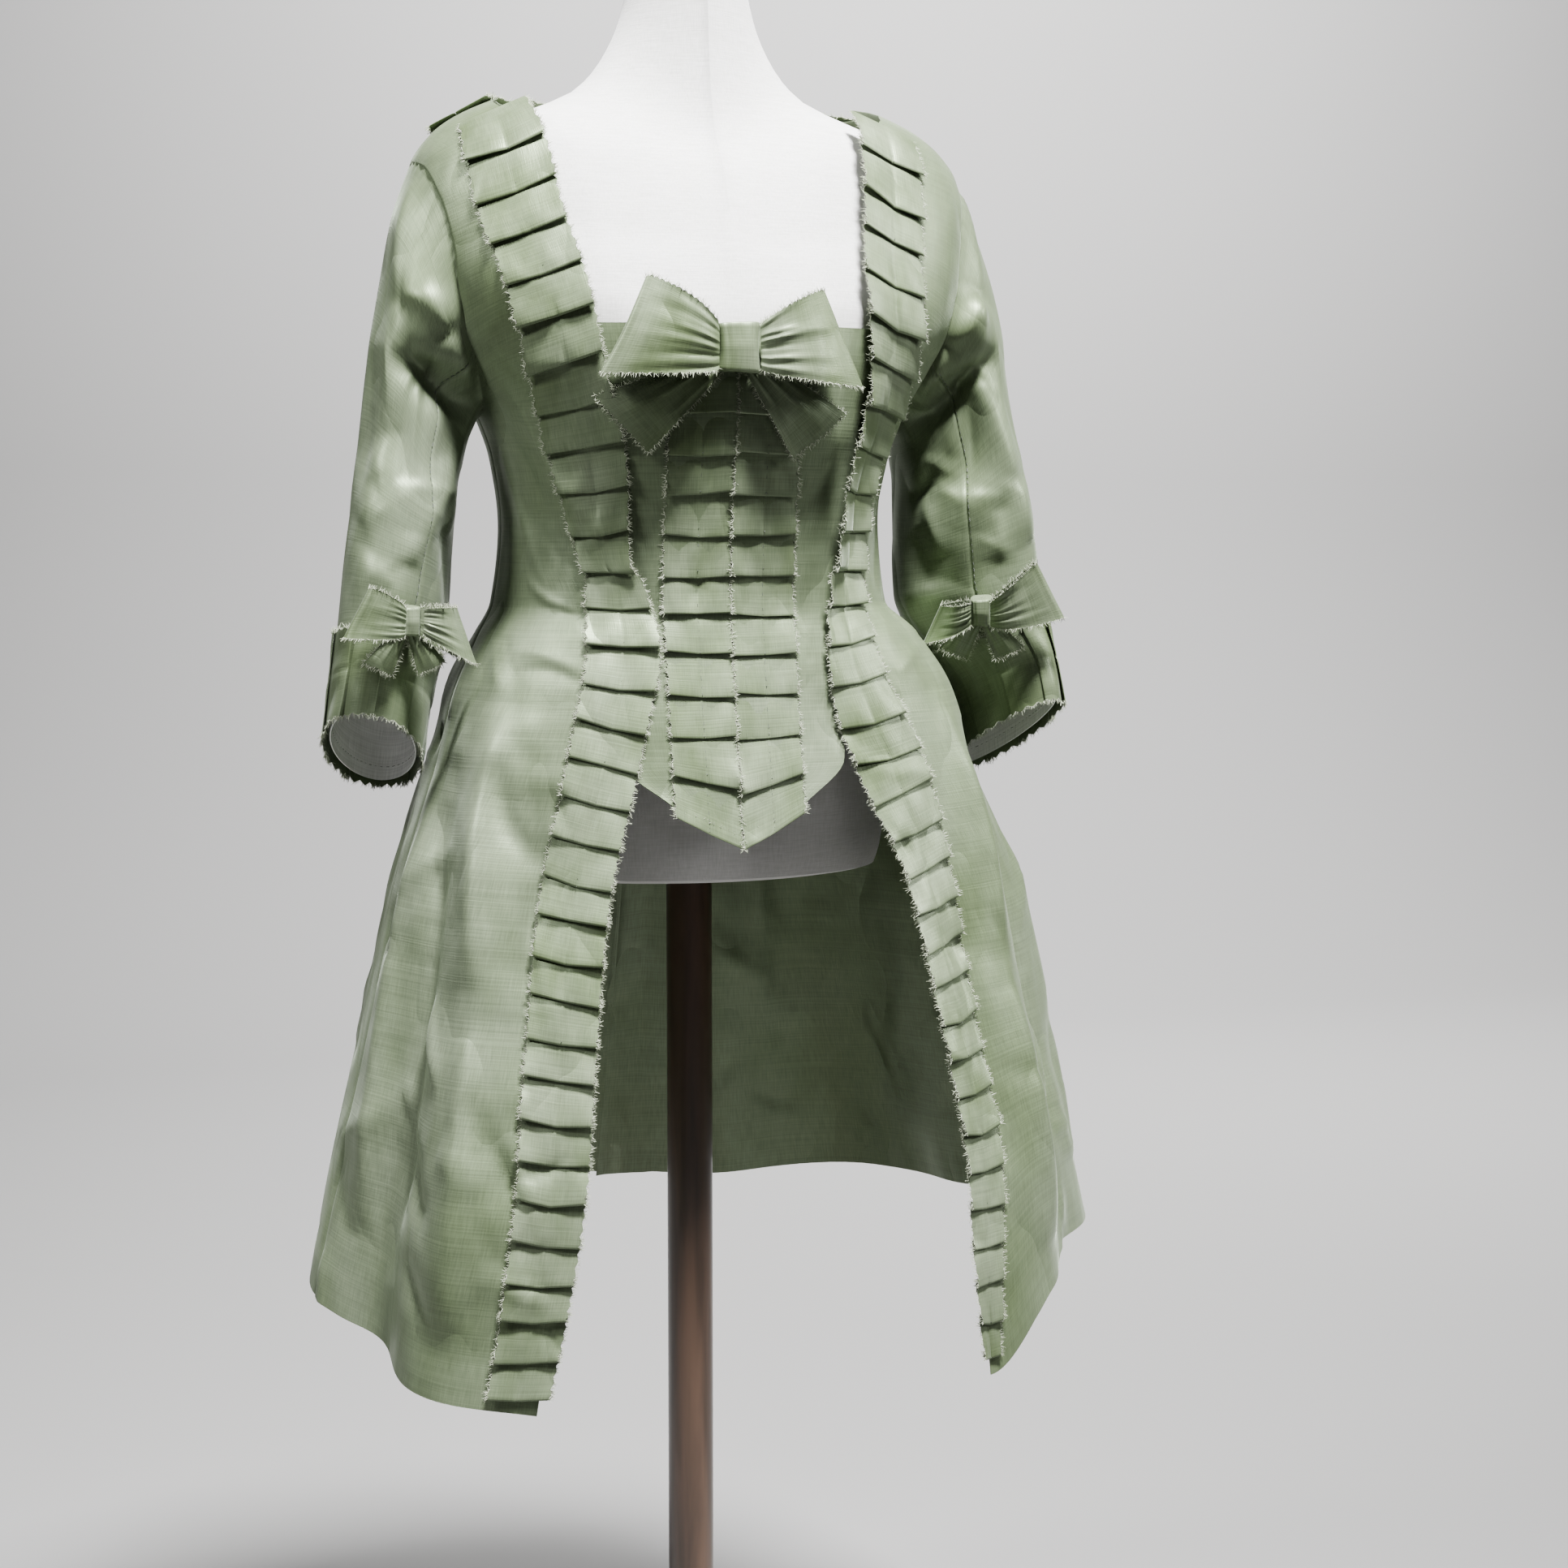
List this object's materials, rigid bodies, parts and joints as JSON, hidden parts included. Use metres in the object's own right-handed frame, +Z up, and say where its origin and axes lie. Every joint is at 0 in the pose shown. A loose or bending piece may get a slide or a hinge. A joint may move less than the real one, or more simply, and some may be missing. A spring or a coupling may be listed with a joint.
{
  "type": "caraco jacket on a dress form",
  "caption": "Hip-length silk jacket open over a stomacher, with pleated trim, elbow sleeves and bows, on a limbless dress form.",
  "frame": {"origin": "on the floor, at the middle of the round base's underside", "axes": "+Z up, -Y the way the wearer faces, +X the wearer's left"},
  "size_m": [0.6358, 0.5139, 1.4997],
  "materials": {
    "taffeta": "changeable green silk taffeta, crisp, with a soft gloss",
    "trim": "the same silk, pleated, with raw edges",
    "lining": "pale grey linen, matte",
    "form": "off-white linen cover, matte",
    "wood": "dark turned wood, satin"
  },
  "bodies": {
    "root": {"front_right": "taffeta", "front_left": "taffeta", "back_right": "taffeta", "back_left": "taffeta", "stomacher": "taffeta", "stomacher_trim_right": "trim", "stomacher_trim_left": "trim", "robing_right": "trim", "robing_left": "trim", "neck_trim": "trim", "sleeve_upper_right": "taffeta", "sleeve_under_right": "taffeta", "sleeve_lining_right": "lining", "cuff_trim_right": "trim", "sleeve_upper_left": "taffeta", "sleeve_under_left": "taffeta", "sleeve_lining_left": "lining", "cuff_trim_left": "trim", "bow_knot": "trim", "bow_loop_right": "trim", "bow_loop_left": "trim", "bow_tail_right": "trim", "bow_tail_left": "trim", "cuff_bow_knot_right": "trim", "cuff_bow_loop_outer_right": "trim", "cuff_bow_loop_inner_right": "trim", "cuff_bow_tail_outer_right": "trim", "cuff_bow_tail_inner_right": "trim", "cuff_bow_knot_left": "trim", "cuff_bow_loop_outer_left": "trim", "cuff_bow_loop_inner_left": "trim", "cuff_bow_tail_outer_left": "trim", "cuff_bow_tail_inner_left": "trim", "form_torso": "form", "form_pole": "wood", "form_base": "wood"}
  },
  "joints": []
}
